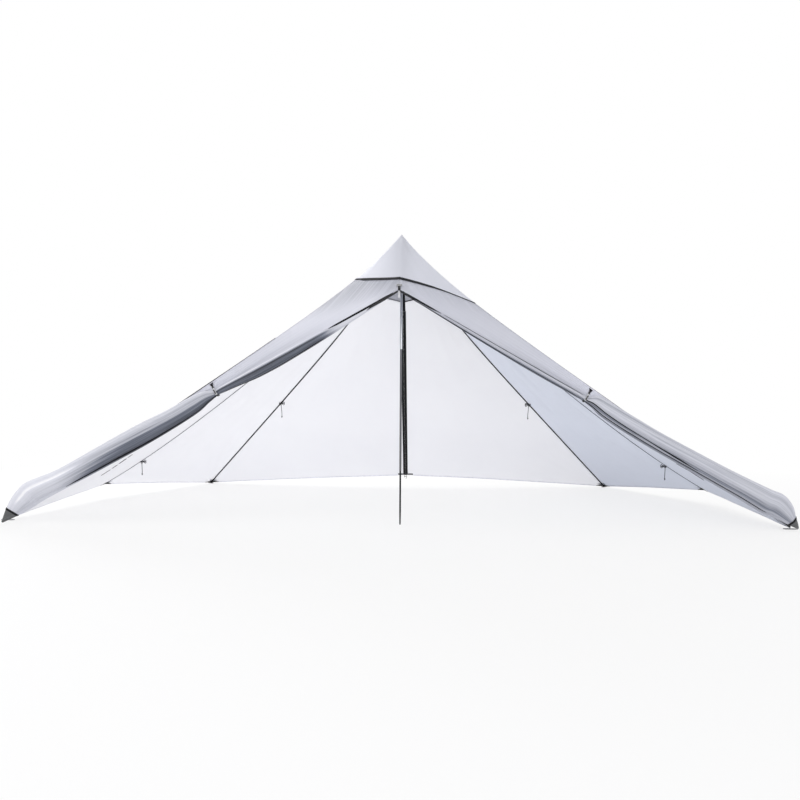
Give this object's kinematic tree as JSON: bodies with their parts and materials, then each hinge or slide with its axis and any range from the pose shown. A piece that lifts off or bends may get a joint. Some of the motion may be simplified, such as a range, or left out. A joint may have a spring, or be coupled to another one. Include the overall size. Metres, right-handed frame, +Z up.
{
  "type": "camping tent",
  "caption": "Front-opening pyramid tent on a telescopic centre pole, with its doors rolled back along the ridges, a hood over the peak and a closed zip down the back.",
  "frame": {"origin": "centre of the pole tip's flat foot, on the ground", "axes": "+X from the left front corner to the right front corner, +Y from the doorway to the back, +Z up"},
  "size_m": [4, 1.8929, 1.4562],
  "materials": {
    "canopy": "smooth coated nylon",
    "hood": "smooth coated nylon",
    "door": "smooth coated nylon",
    "binding": "woven tape",
    "webbing": "woven webbing",
    "patch": "heavy woven cloth",
    "zip": "nylon coil and tape",
    "puller": "plain",
    "toggle": "moulded",
    "silver_tube": "brushed",
    "black_tube": "black anodised",
    "plastic": "moulded",
    "cord": "braided"
  },
  "bodies": {
    "tent": {"front_left_corner_patch": "patch", "front_left_stake_loop": "webbing", "front_right_corner_patch": "patch", "front_right_stake_loop": "webbing", "front_zip_left_tape": "zip", "front_zip_right_tape": "zip", "front_zip_slider": "zip", "hood_rim_binding": "binding", "left_corner_binding": "binding", "left_door_roll": "door", "left_door_top": "door", "left_front_side_panel": "canopy", "left_hem_patch": "patch", "left_ridge_binding": "binding", "left_side_binding": "binding", "left_side_panel": "canopy", "left_tie_strap": "webbing", "peak_hood": "hood", "pole_cup": "webbing", "pole_top_plug": "plastic", "pole_upper_tube": "silver_tube", "rear_hem_strap": "webbing", "rear_left_corner_patch": "patch", "rear_left_panel": "canopy", "rear_left_stake_loop": "webbing", "rear_left_tie_cord": "cord", "rear_peak_binding": "binding", "rear_right_corner_patch": "patch", "rear_right_panel": "canopy", "rear_right_stake_loop": "webbing", "rear_right_tie_cord": "cord", "rear_zip_coil": "zip", "rear_zip_left_tape": "zip", "rear_zip_right_tape": "zip", "right_corner_binding": "binding", "right_door_roll": "door", "right_door_top": "door", "right_front_side_panel": "canopy", "right_hem_patch": "patch", "right_ridge_binding": "binding", "right_side_binding": "binding", "right_side_panel": "canopy", "right_tie_strap": "webbing", "side_left_tie_cord": "cord", "side_right_tie_cord": "cord"},
    "pole_middle": {"pole_middle_tube": "black_tube", "upper_expander": "plastic"},
    "pole_lower": {"pole_lower_tube": "black_tube", "lower_expander": "plastic", "pole_tip": "plastic"},
    "rear_slider": {"rear_zip_slider": "zip"},
    "rear_pull": {"rear_zip_pull": "puller"},
    "front_pull": {"front_zip_pull": "puller"},
    "left_tie_toggle": {"left_toggle": "toggle"},
    "right_tie_toggle": {"right_toggle": "toggle"},
    "hem_hook": {"rear_hem_hook": "plastic"}
  },
  "joints": [
    {"name": "pole_upper_slide", "type": "slide", "parent": "tent", "child": "pole_middle", "axis": [0, 0, 1], "range_m": [0, 0.4]},
    {"name": "pole_lower_slide", "type": "slide", "parent": "pole_middle", "child": "pole_lower", "axis": [0, 0, 1], "range_m": [0, 0.205]},
    {"name": "rear_zip_slide", "type": "slide", "parent": "tent", "child": "rear_slider", "axis": [0, -0.7167, 0.6974], "range_m": [0, 1.418]},
    {"name": "rear_pull_pivot", "type": "hinge", "parent": "rear_slider", "child": "rear_pull", "pos_m": [0, 1.35578, 0.12162], "axis": [1, 0, 0], "range_deg": [-130, 44]},
    {"name": "front_pull_pivot", "type": "hinge", "parent": "tent", "child": "front_pull", "pos_m": [0, -0.35247, 1.10636], "axis": [1, 0, 0], "range_deg": [-44, 130]},
    {"name": "left_toggle_turn", "type": "hinge", "parent": "tent", "child": "left_tie_toggle", "pos_m": [-0.92985, -0.04125, 0.66008], "axis": [-0.1775, -0.9527, 0.2466], "range_deg": [-70, 70]},
    {"name": "right_toggle_turn", "type": "hinge", "parent": "tent", "child": "right_tie_toggle", "pos_m": [0.91526, -0.04131, 0.64178], "axis": [0.1842, -0.9518, 0.2452], "range_deg": [-70, 70]},
    {"name": "hem_hook_swing", "type": "hinge", "parent": "tent", "child": "hem_hook", "pos_m": [0, 1.39605, 0.0865], "axis": [1, 0, 0], "range_deg": [-75, 10]}
  ]
}
